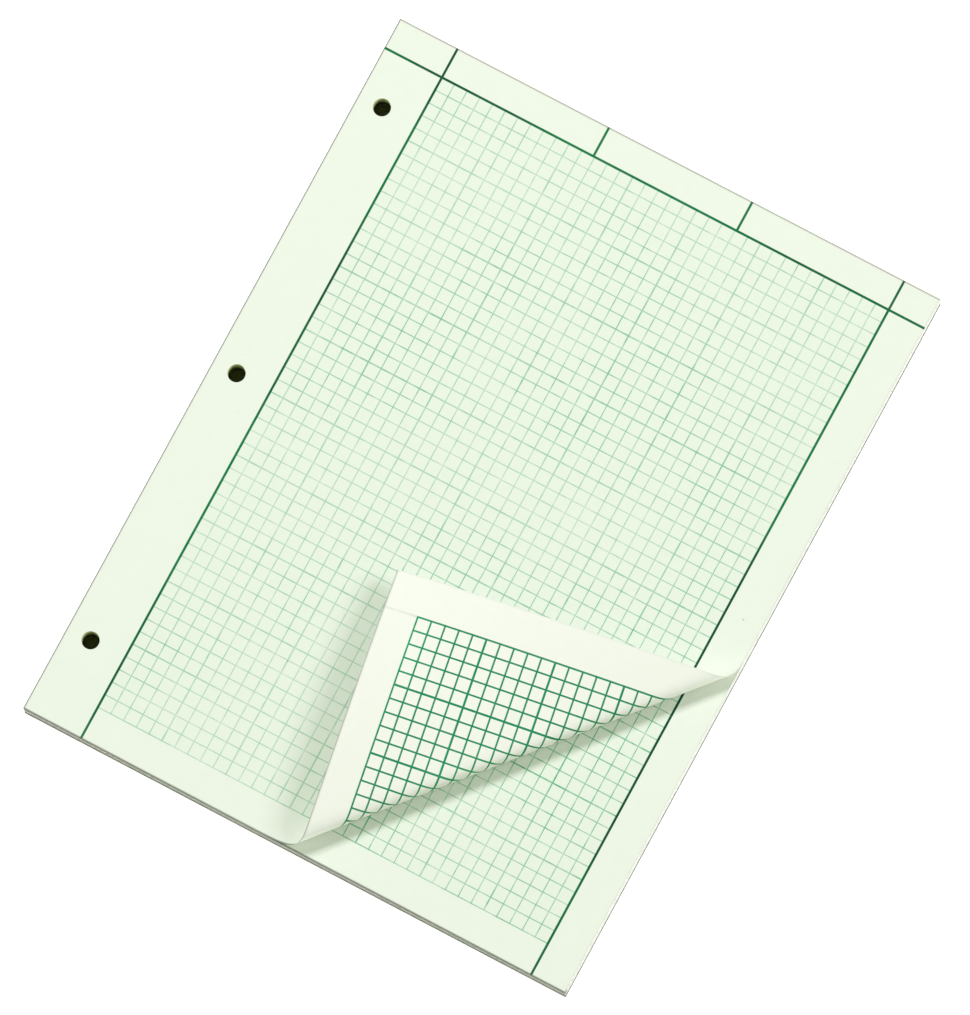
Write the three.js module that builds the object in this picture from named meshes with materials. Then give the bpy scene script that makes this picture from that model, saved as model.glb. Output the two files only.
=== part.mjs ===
// Engineering computation pad, letter size, in millimetres with +Z up.
//
// A hundred sheets of squared paper lie on a chipboard back. All are trimmed and punched together,
// and a film of padding gum along the top edge holds them. The top sheet's lower right corner is
// curled over and lies above the page, clear of it.
//
// The origin is the middle of the back's underside. +X runs to the right of the page and +Y to its
// top. Lengths along an edge of the page are measured from the corner that they belong to.

import * as THREE from 'three';

// Stack
const sheetWidth = 215.9;
const sheetLength = 279.4;
const sheetThickness = 0.09;
const sheetCount = 100;
const boardThickness = 0.8;
const gumThickness = 0.3;

// Ring holes down the left margin, at a binder's ring spacing. The punch sits a little above the
// middle of the page. Each half of a hole's rim is drawn with holeArcSteps straight sides.
const holeDiameter = 6.5;
const holeInset = 9.5;
const holePitch = 107.95;
const holeRowRaise = 0.6;
const holeCount = 3;
const holeArcSteps = 16;

// Curled corner: the sheet leaves the stack along a line across the corner, turns over in a roll
// and runs back over the page as a flap, a little bowed. The corner ends at cornerHeight above the
// page. The eases are the shares of the roll over which the bend builds up and dies away.
const liftUpRightEdge = 147;
const liftAlongBottomEdge = 129.4;
const rollWidth = 23.6;
const rollEaseIn = 1;
const rollEaseOut = 0.31;
const flapRadius = 185;
const cornerHeight = 9.8;
const apexDistance = 872;

// Fineness of the curl and of the search for how far the roll turns
const rollStrips = 30;
const flapStrips = 12;
const stepsPerStrip = 8;
const bendSamples = 200;
const turnSearchSteps = 40;
const leastRollTurn = THREE.MathUtils.degToRad(90);
const mostRollTurn = THREE.MathUtils.degToRad(225);

// Places that follow from the sizes
const right = sheetWidth / 2;
const top = sheetLength / 2;
const blockThickness = (sheetCount - 1) * sheetThickness;
const blockTop = boardThickness + blockThickness;
const padTop = blockTop + sheetThickness;

const paper = new THREE.MeshStandardMaterial({ name: 'paper', color: 0xf0f7e7, roughness: 0.85 });
const chipboard = new THREE.MeshStandardMaterial({ name: 'chipboard', color: 0x9b9080, roughness: 0.95 });
const gum = new THREE.MeshStandardMaterial({ name: 'gum', color: 0xe8e6dc, roughness: 0.45 });

const holeCentres = Array.from({ length: holeCount }, (_, i) => {
  const fromMiddle = (i - (holeCount - 1) / 2) * holePitch;
  return new THREE.Vector2(-right + holeInset, holeRowRaise + fromMiddle);
});

function holePath(centre) {
  return new THREE.Path().absarc(centre.x, centre.y, holeDiameter / 2, 0, 2 * Math.PI, true);
}

// The outline that every layer of the stack is cut to, with its holes
function trimmedOutline() {
  const outline = new THREE.Shape();
  outline.moveTo(-right, -top);
  outline.lineTo(right, -top);
  outline.lineTo(right, top);
  outline.lineTo(-right, top);
  outline.closePath();
  outline.holes = holeCentres.map(holePath);
  return outline;
}

function layer(name, material, thickness, bottom) {
  const settings = { depth: thickness, bevelEnabled: false, curveSegments: holeArcSteps };
  const mesh = new THREE.Mesh(new THREE.ExtrudeGeometry(trimmedOutline(), settings), material);
  mesh.name = name;
  mesh.position.z = bottom;
  return mesh;
}

function makeGumBinding() {
  const film = new THREE.BoxGeometry(sheetWidth, gumThickness, padTop);
  const mesh = new THREE.Mesh(film, gum);
  mesh.name = 'gum_binding';
  mesh.position.set(0, top + gumThickness / 2, padTop / 2);
  return mesh;
}

// The curl is a sheet of paper bent without stretching, so it is part of a cone: every straight
// line from the cone's apex stays straight. The first such line is the one where the sheet leaves
// the stack, and the last one runs through the corner.
const corner = new THREE.Vector2(right, -top);
const liftRight = new THREE.Vector2(right, -top + liftUpRightEdge);
const liftBottom = new THREE.Vector2(right - liftAlongBottomEdge, -top);
const liftDirection = liftBottom.clone().sub(liftRight).normalize();
const apex = liftRight.clone().addScaledVector(liftDirection, -apexDistance);
const liftAngle = liftDirection.angle();
const rollAngle = rollWidth / apexDistance;
const cornerAngle = corner.clone().sub(apex).angle() - liftAngle;

// How strongly the sheet bends at a place in the roll: it eases in from the stack and out into
// the flap. The place runs from 0 to 1 across the roll.
function rollBend(place) {
  const easeIn = THREE.MathUtils.smoothstep(place, 0, rollEaseIn);
  const easeOut = THREE.MathUtils.smoothstep(1 - place, 0, rollEaseOut);
  return easeIn * easeOut;
}

function meanRollBend() {
  let sum = 0;
  for (let i = 0; i < bendSamples; i += 1) sum += rollBend((i + 0.5) / bendSamples);
  return sum / bendSamples;
}

// Angles from the apex at which the sheet is divided into strips
function stripAngles() {
  const inRoll = Math.min(rollAngle, cornerAngle);
  const angles = [];
  for (let i = 0; i <= rollStrips; i += 1) angles.push(inRoll * i / rollStrips);
  for (let i = 1; i <= flapStrips; i += 1) {
    angles.push(inRoll + (cornerAngle - inRoll) * i / flapStrips);
  }
  return angles;
}

// Direction from the apex and normal of the sheet at each strip's edge, for a roll that turns the
// sheet by this angle in all
function bentLines(angles, rollTurn) {
  const meanBend = meanRollBend();
  const along = new THREE.Vector3(liftDirection.x, liftDirection.y, 0);
  const normal = new THREE.Vector3(0, 0, 1);
  const lines = [{ along: along.clone(), normal: normal.clone() }];
  for (let i = 1; i < angles.length; i += 1) {
    const step = (angles[i] - angles[i - 1]) / stepsPerStrip;
    for (let j = 0; j < stepsPerStrip; j += 1) {
      const place = (angles[i - 1] + (j + 0.5) * step) / rollAngle;
      const bend = place < 1
        ? rollTurn / rollAngle * rollBend(place) / meanBend
        : apexDistance / flapRadius;
      const axis = normal.clone().addScaledVector(along, bend);
      const turn = axis.length() * step;
      axis.normalize();
      along.applyAxisAngle(axis, turn);
      normal.applyAxisAngle(axis, turn);
    }
    lines.push({ along: along.clone(), normal: normal.clone() });
  }
  return lines;
}

// The roll turns just far enough for the corner to end at its height above the page.
function rollTurnForCorner(angles) {
  const reach = corner.distanceTo(apex);
  let low = leastRollTurn;
  let high = mostRollTurn;
  for (let i = 0; i < turnSearchSteps; i += 1) {
    const middle = (low + high) / 2;
    const height = reach * bentLines(angles, middle).at(-1).along.z;
    if (height > cornerHeight) low = middle;
    else high = middle;
  }
  return (low + high) / 2;
}

// Point where a line from the apex, at this angle past the lift line, meets an edge of the page
function onRightEdge(angle) {
  return new THREE.Vector2(right, apex.y + (right - apex.x) * Math.tan(liftAngle + angle));
}

function onBottomEdge(angle) {
  return new THREE.Vector2(apex.x + (-top - apex.y) / Math.tan(liftAngle + angle), -top);
}

function makeTopSheet() {
  const angles = stripAngles();
  const lines = bentLines(angles, rollTurnForCorner(angles));
  const front = [];
  const back = [];
  const triangles = [];

  // A point of the page is made twice, on the front of the sheet and through it on the back
  function addPair(point, normal) {
    front.push(point);
    back.push(point.clone().addScaledVector(normal, -sheetThickness));
    return front.length - 1;
  }

  function addFlat(flat) {
    return addPair(new THREE.Vector3(flat.x, flat.y, padTop), new THREE.Vector3(0, 0, 1));
  }

  function addCurled(flat, line) {
    const point = new THREE.Vector3(apex.x, apex.y, padTop);
    return addPair(point.addScaledVector(line.along, flat.distanceTo(apex)), line.normal);
  }

  const sideAngles = angles.slice(0, -1);
  const rightSide = sideAngles.map((angle, i) => addCurled(onRightEdge(angle), lines[i]));
  const bottomSide = sideAngles.map((angle, i) => addCurled(onBottomEdge(angle), lines[i]));
  const cornerPoint = addCurled(corner, lines.at(-1));

  // Flat part: all of the page above and left of the lift line, with the ring holes
  const flatCorners = [[right, top], [-right, top], [-right, -top]]
    .map(([x, y]) => new THREE.Vector2(x, y));
  const flatLoop = [rightSide[0], ...flatCorners.map(addFlat), bottomSide[0]];
  const holeOutlines = holeCentres
    .map((centre) => holePath(centre).getPoints(holeArcSteps).slice(0, -1));
  const holeLoops = holeOutlines.map((outline) => outline.map(addFlat));
  const flatPoints = [...flatLoop, ...holeLoops.flat()];
  THREE.ShapeUtils.triangulateShape([liftRight, ...flatCorners, liftBottom], holeOutlines)
    .forEach((triangle) => triangles.push(triangle.map((i) => flatPoints[i])));

  // Curled part: a strip between each line and the next, and the corner's own triangle
  for (let i = 1; i < rightSide.length; i += 1) {
    triangles.push([rightSide[i - 1], bottomSide[i - 1], bottomSide[i]]);
    triangles.push([rightSide[i - 1], bottomSide[i], rightSide[i]]);
  }
  triangles.push([rightSide.at(-1), bottomSide.at(-1), cornerPoint]);

  // Cut edges: round the page and round each hole, with the paper on the left of the loop
  const curledLoop = [...bottomSide.slice(1), cornerPoint, ...rightSide.slice(1).reverse()];
  const positions = [...front, ...back].flatMap((point) => point.toArray());
  const toBack = front.length;
  const faces = [];
  triangles.forEach(([a, b, c]) => faces.push(a, b, c, a + toBack, c + toBack, b + toBack));
  [[...flatLoop, ...curledLoop], ...holeLoops].forEach((loop) => {
    loop.forEach((a, i) => {
      const b = loop[(i + 1) % loop.length];
      faces.push(a, a + toBack, b + toBack, a, b + toBack, b);
    });
  });

  const geometry = new THREE.BufferGeometry();
  geometry.setAttribute('position', new THREE.Float32BufferAttribute(positions, 3));
  geometry.setIndex(faces);
  geometry.computeVertexNormals();
  const mesh = new THREE.Mesh(geometry, paper);
  mesh.name = 'top_sheet';
  return mesh;
}

const pad = new THREE.Group();
pad.add(layer('backing_board', chipboard, boardThickness, 0));
pad.add(layer('sheet_block', paper, blockThickness, boardThickness));
pad.add(makeTopSheet());
pad.add(makeGumBinding());

export default pad;
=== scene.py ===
# %% [markdown]
# # A pad of computation paper with a curled corner
#
# The object is a stack of a hundred thin sheets on a chipboard back, trimmed and punched together
# and held by gum along the top edge. The top sheet's lower right corner is curled over. Everything
# that makes it look real is thin: a sheet is less than a tenth of a millimetre thick, the lines are
# less than a millimetre wide, and the print on the back shows faintly through to the front.
#
# The frame comes first. It holds the plain solids at their true size. The pieces could be made from
# numbers alone, but a piece that is measured on the frame can't drift away from its solid.

# %% Load the frame
import math

import bmesh
import bpy
import numpy as np
from mathutils import Matrix, Vector, noise


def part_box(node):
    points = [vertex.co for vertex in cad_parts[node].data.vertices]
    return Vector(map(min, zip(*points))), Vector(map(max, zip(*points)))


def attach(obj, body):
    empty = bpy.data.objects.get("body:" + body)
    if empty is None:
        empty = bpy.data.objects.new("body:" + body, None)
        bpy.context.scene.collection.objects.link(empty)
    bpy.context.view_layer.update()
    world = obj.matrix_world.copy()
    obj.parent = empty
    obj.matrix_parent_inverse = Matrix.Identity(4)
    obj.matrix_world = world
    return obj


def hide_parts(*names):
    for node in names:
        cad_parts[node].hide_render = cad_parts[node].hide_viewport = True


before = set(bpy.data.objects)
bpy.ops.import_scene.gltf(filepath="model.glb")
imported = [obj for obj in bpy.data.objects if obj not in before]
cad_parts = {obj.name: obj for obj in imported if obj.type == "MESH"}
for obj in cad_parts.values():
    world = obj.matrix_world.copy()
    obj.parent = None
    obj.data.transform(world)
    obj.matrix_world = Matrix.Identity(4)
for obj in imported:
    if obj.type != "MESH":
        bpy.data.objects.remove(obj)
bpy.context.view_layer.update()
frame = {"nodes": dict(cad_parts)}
MM = 0.001
print("solids:", ", ".join(frame["nodes"]))

# %% Measure the page
block_low, block_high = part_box("sheet_block")
gum_low, gum_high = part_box("gum_binding")
left, right = block_low.x, block_high.x
bottom, top = block_low.y, block_high.y
page_width, page_length = right - left, top - bottom
block_bottom, block_top, pad_top = block_low.z, block_high.z, gum_high.z
sheet_thickness = pad_top - block_top
leaf_count = round((block_top - block_bottom) / sheet_thickness)
print(f"page {page_width / MM:.1f} x {page_length / MM:.1f} mm, {leaf_count} sheets under the top one")

# %% [markdown]
# ## The way paper bends
#
# The corner of the real sheet is turned over by hand. Paper bends but doesn't stretch, so a turned
# corner is part of a cone: straight lines from the cone's apex, far off the page, stay straight.
#
# A cloth simulation could find such a curl, but it wouldn't end where the solid does, and a Bend
# modifier makes only an even roll. So the curl is worked out. All that it needs is one curve: the
# direction of each straight line, stepped round the roll. The roll eases in from the flat page, bends most
# near its outer side, and lets go into a flap that is a little bowed. A bisection finds how far it
# must turn for the corner to end at its height above the page.

# %% Sizes of the curl
lift_up_right_edge = 147 * MM
lift_along_bottom_edge = 129.4 * MM
roll_width = 23.6 * MM
roll_ease_in = 1.0
roll_ease_out = 0.31
flap_radius = 185 * MM
corner_height = 9.8 * MM
apex_distance = 872 * MM

corner = Vector((right, bottom))
lift_right = Vector((right, bottom + lift_up_right_edge))
lift_bottom = Vector((right - lift_along_bottom_edge, bottom))
lift_direction = (lift_bottom - lift_right).normalized()
lift_heading = math.atan2(lift_direction.y, lift_direction.x)
apex = lift_right - lift_direction * apex_distance
roll_angle = roll_width / apex_distance
print(f"the roll spans {math.degrees(roll_angle):.2f} degrees at the apex")

# %% Bend the lines of the cone
line_steps = 900


def angle_past_lift(x, y):
    """Angle at the apex between the line where the sheet leaves the stack and a point of the page."""
    away = math.atan2(y - apex.y, x - apex.x) - lift_heading
    return (away + math.pi) % (2 * math.pi) - math.pi


def smooth(value):
    """Eases from 0 to 1 with no corner at either end."""
    value = min(max(value, 0), 1)
    return value * value * (3 - 2 * value)


def bent_lines(roll_turn, last_angle):
    """Angles and directions of the cone's lines, for a roll that turns the sheet by roll_turn."""
    angles = np.linspace(0, last_angle, line_steps)
    step = angles[1]
    places = (angles[:-1] + step / 2) / roll_angle
    bends = np.array([smooth(p / roll_ease_in) * smooth((1 - p) / roll_ease_out) for p in places])
    bends *= roll_turn / (bends.sum() * step)
    bends[places >= 1] = apex_distance / flap_radius
    along = Vector((lift_direction.x, lift_direction.y, 0))
    normal = Vector((0, 0, 1))
    directions = [along.copy()]
    for bend in bends:
        axis = normal + along * bend
        turn = Matrix.Rotation(axis.length * step, 3, axis)
        along = turn @ along
        normal = turn @ normal
        directions.append(along.copy())
    return angles, np.array(directions)


corner_angle = angle_past_lift(corner.x, corner.y)
corner_reach = (corner - apex).length
print(f"the corner lies {math.degrees(corner_angle):.2f} degrees past the lift line")

# %% Find how far the roll turns
least_turn, most_turn = math.radians(90), math.radians(225)
turn_search_steps = 24

for _ in range(turn_search_steps):
    roll_turn = (least_turn + most_turn) / 2
    line_angles, line_directions = bent_lines(roll_turn, corner_angle)
    if corner_reach * line_directions[-1][2] > corner_height:
        least_turn = roll_turn
    else:
        most_turn = roll_turn
print(f"the roll turns {math.degrees(roll_turn):.1f} degrees over {roll_width / MM:.1f} mm of paper")

# %% [markdown]
# ## A page with ring holes
#
# Each layer of the pad is cut to the same outline and drilled with the same three holes. A Boolean
# with cylinders could cut them, but it leaves thin triangles that catch the light. Here the
# outline's four corners and the three circles are drawn first, and `triangle_fill` fills what lies
# between them, as a cutter leaves it.

# %% Outline and holes
hole_radius = 3.25 * MM
hole_inset = 9.5 * MM
hole_pitch = 107.95 * MM
hole_row_raise = 0.6 * MM
hole_segments = 40
hole_centres = [Vector((left + hole_inset, hole_row_raise + i * hole_pitch)) for i in (-1, 0, 1)]


def punched_loops(mesh, inset, height):
    """Edges of the page's outline, drawn in by inset, and of its holes, all at one height."""
    corners = [(left + inset, bottom + inset), (right - inset, bottom + inset),
               (right - inset, top - inset), (left + inset, top - inset)]
    verts = [mesh.verts.new((x, y, height)) for x, y in corners]
    edges = [mesh.edges.new((verts[i - 1], verts[i])) for i in range(4)]
    for centre in hole_centres:
        place = Matrix.Translation((centre.x, centre.y, height))
        ring = bmesh.ops.create_circle(mesh, segments=hole_segments, radius=hole_radius, matrix=place)
        once_each = dict.fromkeys(edge for vert in ring["verts"] for edge in vert.link_edges)
        edges += once_each
    return edges


print(f"ring holes: {len(hole_centres)}, {2 * hole_radius / MM:.1f} mm wide")


# %% A place on the page, and an object for each piece
def page_uv(mesh):
    """Gives every face corner its place on the page, from 0 to 1 each way."""
    layer = mesh.loops.layers.uv.new("page")
    for face in mesh.faces:
        for loop in face.loops:
            x, y, _ = loop.vert.co
            loop[layer].uv = ((x - left) / page_width, (y - bottom) / page_length)


def new_piece(name, mesh, node, finishes):
    """Makes the bmesh an object that stands for a CAD node, with empty slots for its finishes."""
    data = bpy.data.meshes.new(name)
    for _ in range(finishes):
        data.materials.append(None)
    mesh.to_mesh(data)
    mesh.free()
    piece = bpy.data.objects.new(name, data)
    bpy.context.scene.collection.objects.link(piece)
    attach(piece, "root")
    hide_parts(node)
    print(f"{name}: {len(data.polygons)} faces, in place of {node}")
    return piece


print("each piece stands for one solid, and its page is 1 wide and 1 high in UV")

# %% [markdown]
# ## The block of sheets
#
# Seen close up, the side of a pad is never smooth: the knife pushed each sheet a few hundredths of a
# millimetre. A striped texture on a box would show lines, but no light would catch on them. So the
# block is built the way it is stacked. Its outline is extruded upwards once for each sheet, then
# stepped sideways to where the next one lies. The steps stay inside the solid's box.

# %% Stack the sheets
leaf_margin = 0.10 * MM
leaf_shift = 0.05 * MM
leaf_seed = 7


def stack_leaves():
    """The block, extruded sheet by sheet."""
    mesh = bmesh.new()
    edges = punched_loops(mesh, leaf_margin, block_bottom)
    bmesh.ops.triangle_fill(mesh, edges=edges, use_beauty=True, normal=(0, 0, -1))
    leaf_height = (block_top - block_bottom) / leaf_count
    draw = np.random.default_rng(leaf_seed)
    place = Vector((0, 0))
    for _ in range(leaf_count):
        drift = Vector(draw.uniform(-leaf_shift, leaf_shift, 2))
        for move in (Vector((*(drift - place), 0)), Vector((0, 0, leaf_height))):
            made = bmesh.ops.extrude_edge_only(mesh, edges=edges)["geom"]
            verts = [part for part in made if isinstance(part, bmesh.types.BMVert)]
            edges = [part for part in made if isinstance(part, bmesh.types.BMEdge)]
            bmesh.ops.translate(mesh, verts=verts, vec=move)
        place = drift
    bmesh.ops.triangle_fill(mesh, edges=edges, use_beauty=True, normal=(0, 0, 1))
    bmesh.ops.recalc_face_normals(mesh, faces=mesh.faces[:])
    page_uv(mesh)
    return mesh


block_mesh = stack_leaves()
print(f"stacked {leaf_count} sheets, each within {leaf_shift / MM:.2f} mm of its place")

# %% Tell the block's top, sides and hole walls apart
# Slot 0 is the printed page on top.
SIDE_SLOT, WALL_SLOT = 1, 2


def in_hole(point):
    """Whether a point lies in or on a ring hole."""
    flat = Vector(point[:2])
    return any((flat - centre).length < hole_radius + leaf_margin for centre in hole_centres)


for face in block_mesh.faces:
    middle = face.calc_center_median()
    if middle.z < block_top - sheet_thickness / 4:
        face.material_index = WALL_SLOT if in_hole(middle) else SIDE_SLOT
stack = new_piece("sheets", block_mesh, "sheet_block", 3)

# %% [markdown]
# ## The curled top sheet
#
# The top sheet is flat where it lies on the stack and curled at its corner. An even grid would need
# to be very fine to look smooth in the roll. Cut along the cone's straight lines, the sheet bends
# only across its cuts, so they lie close in the roll and wide in the flap. A coarse lattice of cuts
# lets the flat part cockle by a few hundredths of a millimetre, as paper does.
#
# Each place on the page is stored as UV before the bend, so the print bends with the paper.

# %% Where each point of the page goes
cockle_height = 0.07 * MM
cockle_size = 55 * MM


def cockle(x, y):
    """How far the lying part of the sheet stands off the stack."""
    wave = noise.noise(Vector((x, y, 0)) / cockle_size)
    return cockle_height * (0.5 + 0.5 * wave)


def bend_point(x, y):
    """The place in space of a point of the flat page."""
    angle = angle_past_lift(x, y)
    if angle <= 0:
        return Vector((x, y, pad_top + cockle(x, y) * smooth(-angle / roll_angle)))
    along = Vector([np.interp(angle, line_angles, line_directions[:, i]) for i in range(3)])
    reach = math.hypot(x - apex.x, y - apex.y)
    return Vector((apex.x, apex.y, pad_top)) + along.normalized() * reach


print(f"the corner ends {(bend_point(*corner).z - pad_top) / MM:.1f} mm above the page")

# %% Cut and bend the sheet
roll_cuts = 72
flap_cuts = 14
lattice = 9 * MM
cut_weld = 1e-7


def bisect(mesh, point, normal):
    """Cuts every face that a plane crosses, and keeps both sides."""
    everything = mesh.verts[:] + mesh.edges[:] + mesh.faces[:]
    bmesh.ops.bisect_plane(mesh, geom=everything, dist=cut_weld, plane_co=point, plane_no=normal)


def curled_sheet():
    """The sheet's front, cut flat and then bent."""
    mesh = bmesh.new()
    edges = punched_loops(mesh, 0, pad_top)
    bmesh.ops.triangle_fill(mesh, edges=edges, use_beauty=True, normal=(0, 0, 1))
    for x in np.arange(left + lattice, right, lattice):
        bisect(mesh, (x, 0, 0), (1, 0, 0))
    for y in np.arange(bottom + lattice, top, lattice):
        bisect(mesh, (0, y, 0), (0, 1, 0))
    in_roll = np.linspace(0, roll_angle, roll_cuts + 1)
    in_flap = np.linspace(roll_angle, corner_angle, flap_cuts + 1)[1:-1]
    for angle in (*in_roll, *in_flap):
        heading = lift_heading + angle
        bisect(mesh, (apex.x, apex.y, 0), (-math.sin(heading), math.cos(heading), 0))
    for face in mesh.faces:
        if face.normal.z < 0:
            face.normal_flip()
    page_uv(mesh)
    for vert in mesh.verts:
        vert.co = bend_point(vert.co.x, vert.co.y)
    for face in mesh.faces:
        face.smooth = True
    return mesh


curl = new_piece("curled_sheet", curled_sheet(), "top_sheet", 3)


# %% Give the sheet its thickness
def thicken(piece, thickness):
    """Gives a sheet its back and its cut edge, and keeps the corner between them sharp."""
    wall = piece.modifiers.new("thickness", "SOLIDIFY")
    wall.thickness = thickness
    wall.offset = -1
    wall.material_offset = 1
    wall.material_offset_rim = 2
    bpy.context.view_layer.update()
    solid = piece.evaluated_get(bpy.context.evaluated_depsgraph_get())
    piece.data = bpy.data.meshes.new_from_object(solid)
    piece.modifiers.clear()
    mesh = bmesh.new()
    mesh.from_mesh(piece.data)
    for edge in mesh.edges:
        edge.smooth = len({face.material_index for face in edge.link_faces}) < 2
    mesh.to_mesh(piece.data)
    mesh.free()


thicken(curl, sheet_thickness)
highest = max(vert.co.z for vert in curl.data.vertices)
print(f"with its thickness: {len(curl.data.polygons)} faces, {(highest - pad_top) / MM:.1f} mm high")

# %% [markdown]
# ## The gum along the top edge
#
# Padding gum is brushed on and dries to a thin rubbery skin with low ridges along the brush's way.
# Bump in a material could draw the ridges, but the skin would keep a ruler-straight outline. So its
# outer face is cut finely, and pressed in by noise that is long across the pad and short up it.

# %% Brush on the gum
gum_cut = 1.2 * MM
gum_rows = 9
gum_dip = 0.4
gum_wave = Vector((9 * MM, 1, 1.6 * MM))


def gum_film():
    """A thin slab whose outer face dips between the ridges."""
    mesh = bmesh.new()
    middle, size = (gum_low + gum_high) / 2, gum_high - gum_low
    block = Matrix.Translation(middle) @ Matrix.Diagonal((*size, 1))
    bmesh.ops.create_cube(mesh, size=1, matrix=block)
    for x in np.arange(gum_low.x + gum_cut, gum_high.x, gum_cut):
        bisect(mesh, (x, 0, 0), (1, 0, 0))
    for z in np.linspace(gum_low.z, gum_high.z, gum_rows + 1)[1:-1]:
        bisect(mesh, (0, 0, z), (0, 0, 1))
    for vert in mesh.verts:
        if vert.co.y > middle.y:
            ridge = noise.noise(Vector(vert.co[i] / gum_wave[i] for i in range(3)))
            vert.co.y -= size.y * gum_dip * (0.5 + 0.5 * ridge)
    for face in mesh.faces:
        face.smooth = face.normal.y > 0.5
    return mesh


gum = new_piece("gum_film", gum_film(), "gum_binding", 1)

# %% [markdown]
# ## Helpers for shader nodes
#
# A finish is a small network of nodes. Nodes could be placed one by one, at three or four lines
# each. These helpers make a node and fill its inputs in one line, so each recipe below stays short
# enough to read. An effect that several finishes share is a group with named inputs and outputs.


# %% Make and link nodes
def feed(tree, socket, value):
    """Links another node's output to a socket, or sets the socket to a plain value."""
    if isinstance(value, bpy.types.NodeSocket):
        tree.links.new(value, socket)
    else:
        socket.default_value = value


def add(tree, kind, inputs, **settings):
    """A new node with its settings and inputs."""
    node = tree.nodes.new(kind)
    for name, value in settings.items():
        setattr(node, name, value)
    for key, value in inputs.items():
        feed(tree, node.inputs[key], value)
    return node


def calc(tree, operation, a, b=0.0):
    """One step of arithmetic."""
    return add(tree, "ShaderNodeMath", {0: a, 1: b}, operation=operation).outputs[0]


def ramp(tree, value, low, high, start=0.0, end=1.0, kind="SMOOTHSTEP"):
    """Goes from start to end while the value goes from low to high."""
    inputs = {0: value, 1: low, 2: high, 3: start, 4: end}
    return add(tree, "ShaderNodeMapRange", inputs, interpolation_type=kind).outputs[0]


def blend_colour(tree, factor, a, b):
    """Colour a where the factor is 0, and colour b where it is 1."""
    return add(tree, "ShaderNodeMix", {0: factor, 6: a, 7: b}, data_type="RGBA").outputs[2]


print("node helpers: feed, add, calc, ramp and blend_colour")


# %% Join masks
def both(tree, a, b):
    """A mask that is 1 only where both masks are, or one mask weakened by a number."""
    return calc(tree, "MULTIPLY", a, b)


def either(tree, a, b):
    """A mask that is 1 where at least one of two masks is."""
    return calc(tree, "MAXIMUM", a, b)


def between(tree, value, low, high):
    """A mask that is 1 where the value lies between two others."""
    return both(tree, calc(tree, "GREATER_THAN", value, low), calc(tree, "LESS_THAN", value, high))


print("mask helpers: both, either and between")


# %% Make and use groups
def new_group(name, inputs, outputs):
    """An empty node group with named sockets. Inputs are names with defaults, outputs are names."""
    tree = bpy.data.node_groups.new(name, "ShaderNodeTree")
    for label, value in inputs.items():
        kind = "NodeSocketVector" if isinstance(value, tuple) else "NodeSocketFloat"
        tree.interface.new_socket(label, in_out="INPUT", socket_type=kind).default_value = value
    for label in outputs:
        tree.interface.new_socket(label, in_out="OUTPUT", socket_type="NodeSocketFloat")
    return tree, tree.nodes.new("NodeGroupInput").outputs, tree.nodes.new("NodeGroupOutput").inputs


def use_group(tree, group, inputs):
    """Places a group in a material or in another group, and gives its outputs."""
    node = tree.nodes.new("ShaderNodeGroup")
    node.node_tree = group
    for key, value in inputs.items():
        feed(tree, node.inputs[key], value)
    return node.outputs


print("group helpers: new_group and use_group")

# %% [markdown]
# ## Ruled lines
#
# The page is printed with families of parallel lines, at one pitch and with every fifth one heavier.
# An image could hold them, but it would blur close up. One family needs only a coordinate across it:
# rounded to the nearest line, it gives the distance to that line's middle, and the distance gives
# the ink. A single line or a pair is a family too, so the same group draws the form's frame.

# %% Group: ruled lines
line_softness = 0.07
half_step = 0.5


def ruled_lines():
    """Ink of one family of lines, whose outermost ones are never heavy.

    Squares is the number of gaps between the lines, so a single line has none.
    """
    inputs = {"Across": 0.0, "First": 0.0, "Pitch": 1.0, "Squares": 0.0, "Width": 0.4, "Heavy": 0.6,
              "Every": 5.0}
    tree, given, made = new_group("Ruled lines", inputs, ["Ink"])
    along = calc(tree, "SUBTRACT", given["Across"], given["First"])
    steps = calc(tree, "DIVIDE", along, given["Pitch"])
    nearest = calc(tree, "MAXIMUM", calc(tree, "ROUND", steps), 0.0)
    nearest = calc(tree, "MINIMUM", nearest, given["Squares"])
    steps_off = calc(tree, "ABSOLUTE", calc(tree, "SUBTRACT", steps, nearest))
    off = calc(tree, "MULTIPLY", steps_off, given["Pitch"])
    last = calc(tree, "SUBTRACT", given["Squares"], half_step)
    inside = between(tree, nearest, half_step, last)
    fifth = calc(tree, "LESS_THAN", calc(tree, "MODULO", nearest, given["Every"]), half_step)
    heavy = both(tree, inside, fifth)
    width = ramp(tree, heavy, 0.0, 1.0, given["Width"], given["Heavy"], "LINEAR")
    half = calc(tree, "MULTIPLY", width, 0.5)
    outer = calc(tree, "ADD", half, line_softness)
    inner = calc(tree, "SUBTRACT", half, line_softness)
    tree.links.new(ramp(tree, off, outer, inner), made["Ink"])
    return tree


RULED_LINES = ruled_lines()
print(f"{RULED_LINES.name}: {len(RULED_LINES.nodes)} nodes")

# %% [markdown]
# ## The squares and the frame
#
# The squares are printed on the back of each sheet, thirty-five across and fifty up, five to the
# inch. The front has only a frame: a line down each margin, a line under the heading, and two ticks
# that divide the heading. Each print could be drawn inside the material of its own face, but each
# also shows through on the other face. So both are groups that give a mask over the page, in
# millimetres from its lower left corner, and either face can use either print.

# %% Group: squares
square = 5.1
squares_across, squares_up = 35, 50
field_left, field_bottom = 23.1, 12.62
field_right = field_left + squares_across * square
field_top = field_bottom + squares_up * square
corner_line = 0.6


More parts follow.
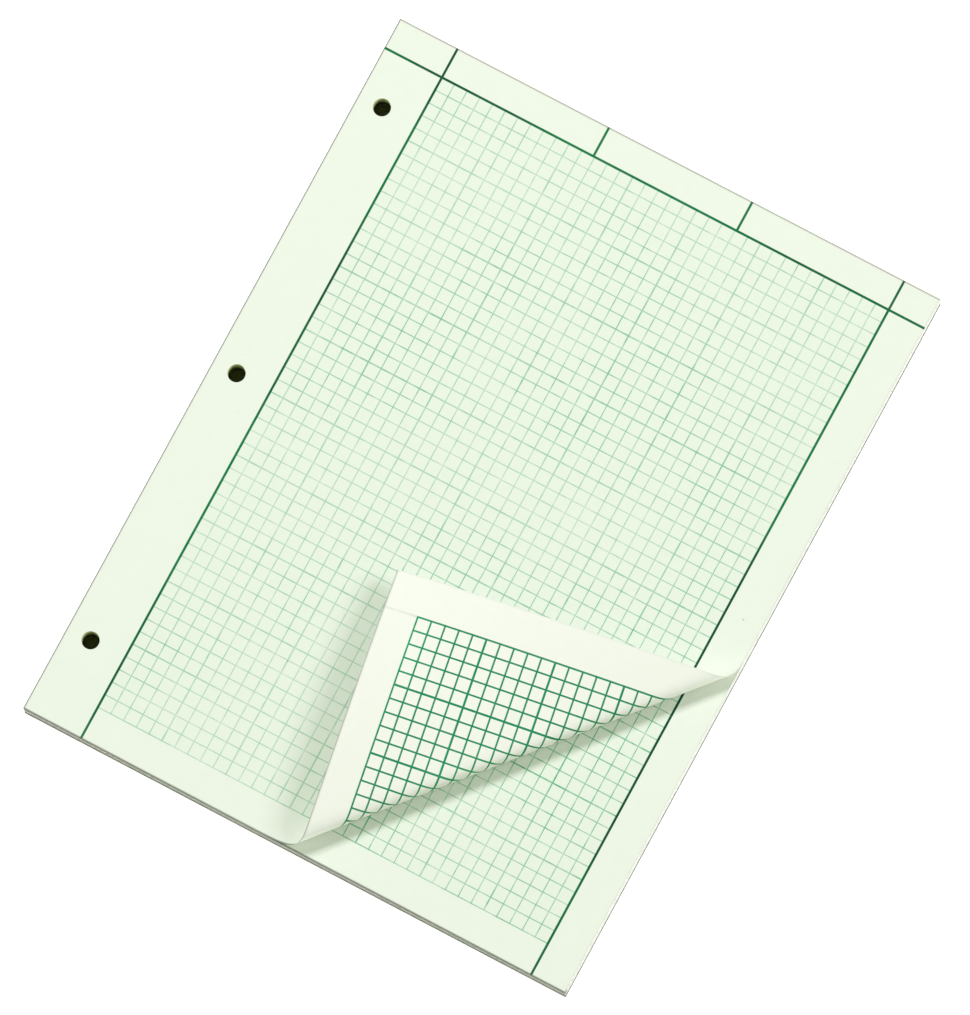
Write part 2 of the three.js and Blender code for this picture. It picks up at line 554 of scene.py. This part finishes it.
def squares_print():
    """Ink of the squares, and a mask of the field that they cover."""
    inputs = {"U": 0.0, "V": 0.0, "Width": 0.5, "Heavy": 0.7}
    tree, given, made = new_group("Squares", inputs, ["Ink", "Field"])
    u, v = given["U"], given["V"]
    size = {"Pitch": square, "Width": given["Width"], "Heavy": given["Heavy"]}
    upright = use_group(
        tree, RULED_LINES, {"Across": u, "First": field_left, "Squares": squares_across, **size})
    level = use_group(
        tree, RULED_LINES, {"Across": v, "First": field_bottom, "Squares": squares_up, **size})
    edge = corner_line / 2
    across = between(tree, u, field_left - edge, field_right + edge)
    up = between(tree, v, field_bottom - edge, field_top + edge)
    ink = either(tree, both(tree, upright["Ink"], up), both(tree, level["Ink"], across))
    tree.links.new(ink, made["Ink"])
    tree.links.new(both(tree, across, up), made["Field"])
    return tree


SQUARES = squares_print()
print(f"{SQUARES.name}: {squares_across} x {squares_up}, up to {field_right:.1f} and {field_top:.1f} mm")

# %% Group: frame
frame_line = 0.9
first_tick, second_tick = 83.75, 141.0


def frame_print():
    """Ink of the margins' lines, the heading's line and its ticks."""
    tree, given, made = new_group("Frame", {"U": 0.0, "V": 0.0}, ["Ink"])
    u, v = given["U"], given["V"]
    size = {"Width": frame_line, "Heavy": frame_line}
    margins = use_group(tree, RULED_LINES, {
        "Across": u, "First": field_left, "Pitch": field_right - field_left, "Squares": 1.0, **size})
    heading = use_group(tree, RULED_LINES, {"Across": v, "First": field_top, "Pitch": 1.0, **size})
    ticks = use_group(tree, RULED_LINES, {
        "Across": u, "First": first_tick, "Pitch": second_tick - first_tick, "Squares": 1.0, **size})
    in_heading = calc(tree, "GREATER_THAN", v, field_top)
    lines = either(tree, margins["Ink"], heading["Ink"])
    tree.links.new(either(tree, lines, both(tree, ticks["Ink"], in_heading)), made["Ink"])
    return tree


FRAME = frame_print()
print(f"{FRAME.name}: lines {frame_line} mm wide, {len(FRAME.nodes)} nodes")

# %% [markdown]
# ## Greyed edges and specks
#
# A real pad isn't spotless: here and there a speck of dirt lies in the paper. And the page is a
# little grey within a millimetre of its outline, most on the left and at the bottom. Both could be
# painted by hand. As masks over the page they stay sharp, and any face can wear them.

# %% Groups: trimmed edge and speck
trim_width = 0.8
trim_by_edge = {"left": 1.0, "right": 0.15, "bottom": 1.0, "top": 0.7}
speck_radius = 0.42


def trimmed_edge():
    """How near a point is to the page's outline, weaker along some edges than others."""
    tree, given, made = new_group("Trimmed edge", {"U": 0.0, "V": 0.0}, ["Mask"])
    gaps = {
        "left": given["U"],
        "right": calc(tree, "SUBTRACT", page_width / MM, given["U"]),
        "bottom": given["V"],
        "top": calc(tree, "SUBTRACT", page_length / MM, given["V"])}
    mask = 0.0
    for edge, gap in gaps.items():
        mask = either(tree, mask, ramp(tree, gap, trim_width, 0.0, 0.0, trim_by_edge[edge]))
    tree.links.new(mask, made["Mask"])
    return tree


def speck():
    """A dot of dirt in the paper, at a place on the page."""
    inputs = {"U": 0.0, "V": 0.0, "At U": 0.0, "At V": 0.0}
    tree, given, made = new_group("Speck", inputs, ["Mask"])
    away = [calc(tree, "SUBTRACT", given[name], given["At " + name]) for name in "UV"]
    squared = calc(tree, "ADD", *[both(tree, gap, gap) for gap in away])
    distance = calc(tree, "SQRT", squared)
    tree.links.new(ramp(tree, distance, speck_radius, speck_radius / 2), made["Mask"])
    return tree


TRIMMED_EDGE = trimmed_edge()
SPECK = speck()
print(f"greyed within {trim_width} mm of the knife, specks {2 * speck_radius} mm wide")

# %% [markdown]
# ## Paper fibre
#
# Uncoated paper is matt. Close up, its colour clouds a little where the fibres lie thicker, and its
# surface has a fine tooth. The press also laid down more ink in some patches than in others. One
# noise could serve for all three, but the largest is two hundred times as wide as the finest. So the
# group holds three noises, and each material says how strongly it uses them.

# %% Group: paper fibre
press_patch, fibre_cloud, fibre_tooth = 16.0, 260.0, 3800.0


def paper_fibre():
    """Noise at the sizes of the press's patches, of the fibre clouds and of the paper's tooth."""
    sizes = {"Patch": (press_patch, 1.0), "Cloud": (fibre_cloud, 4.0), "Tooth": (fibre_tooth, 3.0)}
    tree, given, made = new_group("Paper fibre", {"Place": (0.0, 0.0, 0.0)}, sizes)
    for name, (scale, detail) in sizes.items():
        inputs = {"Vector": given["Place"], "Scale": scale, "Detail": detail}
        tree.links.new(add(tree, "ShaderNodeTexNoise", inputs).outputs[0], made[name])
    return tree


PAPER_FIBRE = paper_fibre()
patch_size, cloud_size = 1 / press_patch / MM, 1 / fibre_cloud / MM
print(f"{PAPER_FIBRE.name}: patches about {patch_size:.0f} mm wide, clouds {cloud_size:.0f} mm")

# %% [markdown]
# ## The printed faces of a sheet
#
# A sheet has a pale green front and a slightly lighter back. Ink soaks in, so it takes the paper's
# dull surface, and the fibres thin it a little. The paper is thin enough for the other face's print
# to show through, weakly and unevenly. Translucent shading could carry the light through the sheet,
# but it is slow, and the other models made from this one lose it. Here one recipe lays down the
# paper, the other face's print, its own print, and last the specks and the grey rim along the
# outline, and three faces use it: the top sheet's front and back, and the front of the sheet under
# it, whose print lies a little to the side.


# %% Colours and line widths
def srgb(red, green, blue):
    """A colour given as it looks on a screen, 0 to 255, in the linear values that shaders use."""
    values = [channel / 255 for channel in (red, green, blue)]
    return (*[c / 12.92 if c <= 0.04045 else ((c + 0.055) / 1.055) ** 2.4 for c in values], 1.0)


FRONT_PAPER = srgb(232, 240, 226)
BACK_PAPER = srgb(239, 243, 232)
FIELD_PAPER = srgb(228, 239, 223)
CLOUD_TINT = srgb(205, 222, 190)
TRIM_GREY = srgb(104, 104, 96)
INKS = {
    "frame": (srgb(0, 120, 66), srgb(0, 78, 46)),
    "squares": (srgb(0, 166, 106), srgb(0, 138, 86))}

# The squares' light and heavy lines, and how grey the trimmed edge is, on a face that has this
# print of its own. Where the frame is a face's own print, the squares are only seen through.
square_lines = {"squares": (0.64, 0.8), "frame": (0.38, 0.54)}
trim_strength = {"squares": 0.6, "frame": 0.95}
print("inks, thin to well pressed, for:", ", ".join(INKS))


# %% A material, and bump on it
def new_material(name, roughness, specular=0.3):
    """A material, its node tree and its surface shader."""
    material = bpy.data.materials.new(name)
    material.use_nodes = True
    tree = material.node_tree
    surface = tree.nodes["Principled BSDF"]
    surface.inputs["Roughness"].default_value = roughness
    surface.inputs["Specular IOR Level"].default_value = specular
    return material, tree, surface


def bump(tree, surface, height, distance, strength):
    """Lets a mask of heights catch the light."""
    node = add(tree, "ShaderNodeBump", {"Height": height, "Distance": distance, "Strength": strength})
    tree.links.new(node.outputs[0], surface.inputs["Normal"])


def object_place(tree, scale=(1.0, 1.0, 1.0)):
    """Object coordinates in metres, which may be squeezed to stretch a pattern."""
    place = add(tree, "ShaderNodeTexCoord", {}).outputs["Object"]
    return add(tree, "ShaderNodeMapping", {"Vector": place, "Scale": scale}).outputs[0]


print("a finish starts from new_material, object_place and bump")

# %% How strongly each effect shows
paper_roughness, paper_gloss = 0.86, 0.08
fibre_low, fibre_high = 0.3, 0.7
stain_low, stain_high = 0.55, 1.15
soak_low, soak_high = 0.97, 1.0
cloud_low, cloud_high = 0.35, 0.65
cloud_strength = 0.05
patch_thin, patch_full = 0.8, 1.2
speck_strength = 0.45
tooth_height, tooth_strength = 0.01 * MM, 0.35
print(f"ink thins to {soak_low} over thick fibre, and paper clouds by {cloud_strength}")


# %% One face of a sheet
def page_place(tree):
    """The place on the page in millimetres, from the piece's own UV."""
    uv = add(tree, "ShaderNodeUVMap", {}, uv_map="page").outputs[0]
    parts = add(tree, "ShaderNodeSeparateXYZ", {0: uv}).outputs
    return {"U": calc(tree, "MULTIPLY", parts[0], page_width / MM),
            "V": calc(tree, "MULTIPLY", parts[1], page_length / MM)}


def printed_paper(name, paper, own, other, see_through, print_shift=0.0, specks=()):
    """A face of a sheet, with its own print and the other face's print seen through the paper."""
    material, tree, surface = new_material(name, paper_roughness, paper_gloss)
    page = page_place(tree)
    fibre = use_group(tree, PAPER_FIBRE, {"Place": object_place(tree)})
    place = {"U": calc(tree, "SUBTRACT", page["U"], print_shift), "V": page["V"]}
    width, heavy = square_lines[own]
    squares = use_group(tree, SQUARES, {**place, "Width": width, "Heavy": heavy})
    lines = {"squares": squares["Ink"], "frame": use_group(tree, FRAME, place)["Ink"]}

    # Paper
    colour = paper
    if own == "frame":
        colour = blend_colour(tree, squares["Field"], paper, FIELD_PAPER)
    cloudy = ramp(tree, fibre["Cloud"], cloud_low, cloud_high, 0.0, cloud_strength, "LINEAR")
    colour = blend_colour(tree, cloudy, colour, CLOUD_TINT)

    # Print on the other face, seen through
    patch = ramp(tree, fibre["Patch"], cloud_low, cloud_high)
    stain = ramp(tree, fibre["Cloud"], fibre_low, fibre_high, stain_low, stain_high, "LINEAR")
    thin, full = patch_thin * see_through, patch_full * see_through
    seen = both(tree, stain, ramp(tree, patch, 0.0, 1.0, thin, full, "LINEAR"))
    colour = blend_colour(tree, both(tree, lines[other], seen), colour, INKS[other][0])

    # Print on this face
    soak = ramp(tree, fibre["Cloud"], fibre_low, fibre_high, soak_low, soak_high, "LINEAR")
    pressed = blend_colour(tree, patch, *INKS[own])
    colour = blend_colour(tree, both(tree, lines[own], soak), colour, pressed)

    # Specks of dirt, and a grey rim along the outline
    for u, v in specks:
        dot = use_group(tree, SPECK, {**page, "At U": u, "At V": v})
        colour = blend_colour(tree, both(tree, dot["Mask"], speck_strength), colour, TRIM_GREY)
    trim = use_group(tree, TRIMMED_EDGE, page)
    greyed = both(tree, trim["Mask"], trim_strength[own])
    colour = blend_colour(tree, greyed, colour, TRIM_GREY)
    tree.links.new(colour, surface.inputs["Base Color"])
    bump(tree, surface, fibre["Tooth"], tooth_height, tooth_strength)
    print(f"{name}: {own} on it, {other} seen through, {len(tree.nodes)} nodes")
    return material


# %% The three faces
front_see_through, second_see_through, back_see_through = 0.56, 0.66, 0.14
second_print_shift = 0.75
front_specks = [(74.2, 58.2), (208.6, 146.1)]

front = printed_paper(
    "paper_front", FRONT_PAPER, "frame", "squares", front_see_through, specks=front_specks)
second_front = printed_paper(
    "paper_second", FRONT_PAPER, "frame", "squares", second_see_through, second_print_shift)
back = printed_paper("paper_back", BACK_PAPER, "squares", "frame", back_see_through)

# %% [markdown]
# ## Cut edges
#
# The side of the stack is the ends of a hundred sheets. The steps between them are already in the
# mesh, so the colour only has to vary from sheet to sheet: the material squeezes a noise to the
# thickness of one sheet, which gives long streaks. Painted shade greys the upper sheets under the
# top sheet's edge along the bottom, and painted contact shade greys the lowest sheets all round.
# Both are masks by place.

# %% Material: cut edges
CUT_LIGHT = srgb(250, 251, 247)
CUT_DARK = srgb(230, 232, 226)
# Painted shade grey, for the band under the top sheet's edge and for the foot of the stack.
PAINTED_SHADE_GREY = srgb(128, 131, 124)
edge_roughness = 0.9
waves_per_metre = 1 / sheet_thickness
streak_stretch = (60.0, 60.0, waves_per_metre)
streak_scale, streak_detail = 0.6, 3.0
streak_share = 0.8
streak_height, streak_strength = 0.03 * MM, 0.6
# Painted shade: the upper sheets under the top sheet's edge along the bottom, and the lowest sheets all
# round.
shade_under_top_depth, shade_under_top_reach = 2.2 * MM, 2 * MM
shade_under_top_low, shade_under_top_high = 0.35, 0.95
foot_shade_height, foot_shade_strength = 2.6 * MM, 0.75


def noise_at(tree, place, scale, detail):
    """A cloudy mask at a place."""
    inputs = {"Vector": place, "Scale": scale, "Detail": detail}
    return add(tree, "ShaderNodeTexNoise", inputs).outputs[0]


def cut_edge_material():
    """Trimmed paper, with painted shade under the top sheet's edge and at the foot of the stack."""
    material, tree, surface = new_material("cut_edges", edge_roughness)
    streak = noise_at(tree, object_place(tree, streak_stretch), streak_scale, streak_detail)
    _, y, z = add(tree, "ShaderNodeSeparateXYZ", {0: object_place(tree)}).outputs
    # Painted shade under the top sheet's edge, and painted contact shade at the foot of the stack.
    depth = block_top - shade_under_top_depth
    upper = ramp(tree, z, depth, depth + shade_under_top_depth / 2, shade_under_top_low, shade_under_top_high)
    shade_under_top = both(tree, upper, ramp(tree, y, bottom + shade_under_top_reach, bottom + shade_under_top_reach / 2))
    foot_top = block_bottom + foot_shade_height
    foot_shade = ramp(tree, z, foot_top, foot_top - foot_shade_height / 2, 0.0, foot_shade_strength)
    shade = ramp(tree, streak, cloud_low, cloud_high, 0.0, streak_share, "LINEAR")
    colour = blend_colour(tree, shade, CUT_LIGHT, CUT_DARK)
    colour = blend_colour(tree, either(tree, shade_under_top, foot_shade), colour, PAINTED_SHADE_GREY)
    tree.links.new(colour, surface.inputs["Base Color"])
    bump(tree, surface, streak, streak_height, streak_strength)
    return material


cut_edges = cut_edge_material()
print(f"{cut_edges.name}: streaks {sheet_thickness / MM:.2f} mm high")

# %% [markdown]
# ## Punched walls
#
# Little light gets down the holes. In the picture their walls are olive, pale at the rim and almost
# black below. A lamp could be aimed into the holes, but it would light the page as well. So the walls
# are painted: dark olive shade, with a painted highlight at the rim that fades to dark with depth.

# %% Material: punched walls
# Painted shade: the paper walls are drawn dark olive, with a painted highlight at the rim.
PAINTED_WALL_SHADE = srgb(70, 78, 40)
PAINTED_WALL_SHADE_DARK = srgb(44, 50, 26)
PAINTED_RIM_LIGHT = srgb(238, 244, 196)
rim_light_depth = 9 * MM
drill_stretch = (900.0, 900.0, waves_per_metre)
drill_scale, drill_detail = 0.8, 2.0


def punched_material():
    """Drilled paper in painted olive shade, with a painted highlight at the rim."""
    material, tree, surface = new_material("punched_walls", edge_roughness)
    streak = noise_at(tree, object_place(tree, drill_stretch), drill_scale, drill_detail)
    colour = blend_colour(tree, streak, PAINTED_WALL_SHADE, PAINTED_WALL_SHADE_DARK)
    height = add(tree, "ShaderNodeSeparateXYZ", {0: object_place(tree)}).outputs[2]
    # Painted highlight at the rim, fading down into the painted shade.
    rim_light = ramp(tree, height, block_top - rim_light_depth, block_top)
    tree.links.new(blend_colour(tree, rim_light, colour, PAINTED_RIM_LIGHT), surface.inputs["Base Color"])
    return material


punched = punched_material()
print(f"{punched.name}: pale over {rim_light_depth / MM:.0f} mm")

# %% [markdown]
# ## Chipboard
#
# The back is pressed waste paper, grey-brown with lighter and darker fibres. One noise alone would
# look like cloud or stone. Small stretched cells over a fine noise look like flecks of fibre. The
# board keeps its CAD solid, which is the right shape already, and only gets this finish.

# %% Material: chipboard
BOARD = srgb(150, 138, 118)
BOARD_DARK = srgb(112, 100, 84)
BOARD_LIGHT = srgb(182, 172, 152)
board_roughness = 0.92
board_cloud_scale, board_cloud_detail = 420.0, 6.0
board_cloud_height, board_cloud_strength = 0.05 * MM, 0.5
fleck_stretch = (1.0, 0.45, 1.0)
fleck_scale = 900.0
fleck_edge, fleck_middle, fleck_share = 0.22, 0.08, 0.7


def chipboard_material():
    """Pressed fibres with light flecks."""
    material, tree, surface = new_material("chipboard", board_roughness)
    cloud = noise_at(tree, object_place(tree), board_cloud_scale, board_cloud_detail)
    fleck_inputs = {"Vector": object_place(tree, fleck_stretch), "Scale": fleck_scale}
    fleck = add(tree, "ShaderNodeTexVoronoi", fleck_inputs)
    colour = blend_colour(tree, ramp(tree, cloud, cloud_low, cloud_high), BOARD_DARK, BOARD)
    light = ramp(tree, fleck.outputs["Distance"], fleck_edge, fleck_middle, 0.0, fleck_share)
    colour = blend_colour(tree, light, colour, BOARD_LIGHT)
    tree.links.new(colour, surface.inputs["Base Color"])
    bump(tree, surface, cloud, board_cloud_height, board_cloud_strength)
    return material


chipboard = chipboard_material()
print(f"chipboard: flecks about {1 / fleck_scale / MM:.1f} mm")

# %% [markdown]
# ## Gum
#
# Dried gum is a pale, slightly glossy skin, with streaks that the brush left. Real gum is a little
# clear, but it lies on pale paper ends, so a pale colour with some gloss looks the same, and no light
# has to pass through it.

# %% Material: gum
GUM = srgb(226, 223, 208)
GUM_THICK = srgb(204, 200, 182)
gum_roughness, gum_gloss = 0.38, 0.5
brush_stretch = (90.0, 1.0, 700.0)
brush_scale, brush_detail = 1.0, 4.0
brush_height, brush_strength = 0.05 * MM, 0.5


def gum_material():
    """Brushed gum, yellower where it lies thicker."""
    material, tree, surface = new_material("gum", gum_roughness, gum_gloss)
    streak = noise_at(tree, object_place(tree, brush_stretch), brush_scale, brush_detail)
    tree.links.new(blend_colour(tree, streak, GUM, GUM_THICK), surface.inputs["Base Color"])
    bump(tree, surface, streak, brush_height, brush_strength)
    return material


gum_finish = gum_material()
print(f"gum: roughness {gum_roughness}")

# %% [markdown]
# ## Dress the pieces
#
# Each mesh already says which of its faces are page, side, back or hole wall. The finishes could be
# given when a piece is made, but the slots are filled here in one go, so that the list of what wears
# what can be read in one place.


# %% Fill the slots
def dress(piece, materials):
    """Fills a piece's empty slots."""
    for place, material in zip(piece.material_slots, materials, strict=True):
        place.material = material


dress(curl, [front, back, cut_edges])
dress(stack, [second_front, cut_edges, punched])
dress(gum, [gum_finish])
board = frame["nodes"]["backing_board"]
board.material_slots[0].material = chipboard
print("finishes on:", ", ".join(piece.name for piece in (curl, stack, gum, board)))

# %% [markdown]
# ## Floor
#
# The pad lies on a white sweep. In the picture the sweep is pure white with no shadow outside the
# pad. Much stronger lamps would do that, but would bleach the page too. So the sweep glows a little,
# as a lit table does, and not under the pad, where it is painted a dark olive shade, so that the ring
# holes look down on it and stay dark.

# %% Floor
floor_size = 12.0
floor_roughness = 0.9
floor_glow = 0.85
FLOOR_WHITE = srgb(250, 250, 250)
# Painted shade under the pad, seen at the bottom of the ring holes.
PAINTED_SHADE_UNDER_PAD = srgb(112, 118, 74)
GLOW = srgb(255, 255, 255)
NO_GLOW = srgb(0, 0, 0)


def make_floor():
    """A white plane that glows round the pad, and under it is dark olive painted shade with no glow."""
    mesh = bmesh.new()
    bmesh.ops.create_grid(mesh, x_segments=1, y_segments=1, size=floor_size / 2)
    data = bpy.data.meshes.new("floor")
    mesh.to_mesh(data)
    mesh.free()
    floor = bpy.data.objects.new("floor", data)
    bpy.context.scene.collection.objects.link(floor)
    material, tree, surface = new_material("white_sweep", floor_roughness)
    x, y, _ = add(tree, "ShaderNodeSeparateXYZ", {0: object_place(tree)}).outputs
    under = both(tree, between(tree, x, left, right), between(tree, y, bottom, top))
    # Painted shade: dark olive under the pad, seen at the bottom of the ring holes.
    colour = blend_colour(tree, under, FLOOR_WHITE, PAINTED_SHADE_UNDER_PAD)
    tree.links.new(colour, surface.inputs["Base Color"])
    tree.links.new(blend_colour(tree, under, GLOW, NO_GLOW), surface.inputs["Emission Color"])
    surface.inputs["Emission Strength"].default_value = floor_glow
    data.materials.append(material)


make_floor()
print(f"floor: {floor_size:.0f} m wide, glows at {floor_glow}")

# %% [markdown]
# ## Light
#
# The flap throws two soft shadows on the page, one to its left and one under the roll, so the
# photograph had light from the right and stronger light from the upper left. One big lamp overhead
# would be softer still, but the corner would lose its lift. Two square lamps are hung far away,
# which keeps the page evenly lit. The shadows are olive, so the light that fills them, from the
# world all round, is a little green, and the lamps are a little pink to keep the page's colour.

# %% Light
sky_strength = 0.33
sky_colour = (0.84, 1.0, 0.66, 1.0)
lamp_colour = (1.0, 0.93, 1.04)
lamp_distance = 4.0
lamps = {
    "lamp_right": {"power": 66.0, "size": 1.6, "heading": 33.0, "height": 43.0},
    "lamp_upper_left": {"power": 99.0, "size": 1.0, "heading": 155.0, "height": 60.0}}


def direction(heading, height):
    """Unit vector at a heading round from +X and a height above the floor, in radians."""
    level = math.cos(height)
    return Vector((level * math.cos(heading), level * math.sin(heading), math.sin(height)))


def hang_lamp(name, power, size, heading, height):
    """A square soft lamp that faces the pad from a heading and a height, both in degrees."""
    data = bpy.data.lights.new(name, "AREA")
    data.energy = power
    data.color = lamp_colour
    data.size = size
    towards = direction(math.radians(heading), math.radians(height))
    lamp = bpy.data.objects.new(name, data)
    facing = towards.to_track_quat("Z", "Y").to_matrix().to_4x4()
    lamp.matrix_world = Matrix.Translation(towards * lamp_distance) @ facing
    bpy.context.scene.collection.objects.link(lamp)
    print(f"{name}: {power:.0f} W from {heading:.0f} degrees round, {height:.0f} degrees up")


world = bpy.data.worlds.new("studio")
world.use_nodes = True
sky = world.node_tree.nodes["Background"]
sky.inputs["Color"].default_value = sky_colour
sky.inputs["Strength"].default_value = sky_strength
bpy.context.scene.world = world
for name, settings in lamps.items():
    hang_lamp(name, **settings)

# %% [markdown]
# ## Camera
#
# Opposite edges of the page are almost parallel in the picture, so the camera is far away with a
# very long lens. A camera with no perspective would be close, but not quite the same. It looks down
# ten degrees off the vertical, which shows the bottom side of the stack and a sliver of its right
# side, and it is turned so that the page leans in the picture. The colours are shown as they are
# worked out, without a film look, so that the paper's tone can be compared with the photograph.

# %% Camera
camera_distance = 7.026
camera_heading, camera_tilt = math.radians(-51.36), math.radians(10.51)
picture_up = math.radians(118.25)
camera_aim = Vector((1.55 * MM, -0.76 * MM, pad_top))
camera_lens = 709.4
nearest_seen, farthest_seen = 0.1, 40.0
picture_height = 1015

camera_data = bpy.data.cameras.new("camera")
camera_data.lens = camera_lens
camera_data.clip_start = nearest_seen
camera_data.clip_end = farthest_seen
camera = bpy.data.objects.new("camera", camera_data)
back_axis = direction(camera_heading, math.pi / 2 - camera_tilt)
page_axis = direction(picture_up, 0)
up_axis = (page_axis - back_axis * page_axis.dot(back_axis)).normalized()
right_axis = up_axis.cross(back_axis)
camera_turn = Matrix((right_axis, up_axis, back_axis)).transposed().to_4x4()
camera.matrix_world = Matrix.Translation(camera_aim + back_axis * camera_distance) @ camera_turn
bpy.context.scene.collection.objects.link(camera)
bpy.context.scene.camera = camera
bpy.context.scene.view_settings.view_transform = "Standard"
seen_height = camera_data.sensor_width * camera_distance / camera_lens
pixels_per_mm = picture_height * MM / seen_height
print(f"the picture is {seen_height / MM:.0f} mm high, {pixels_per_mm:.2f} pixels to a mm")
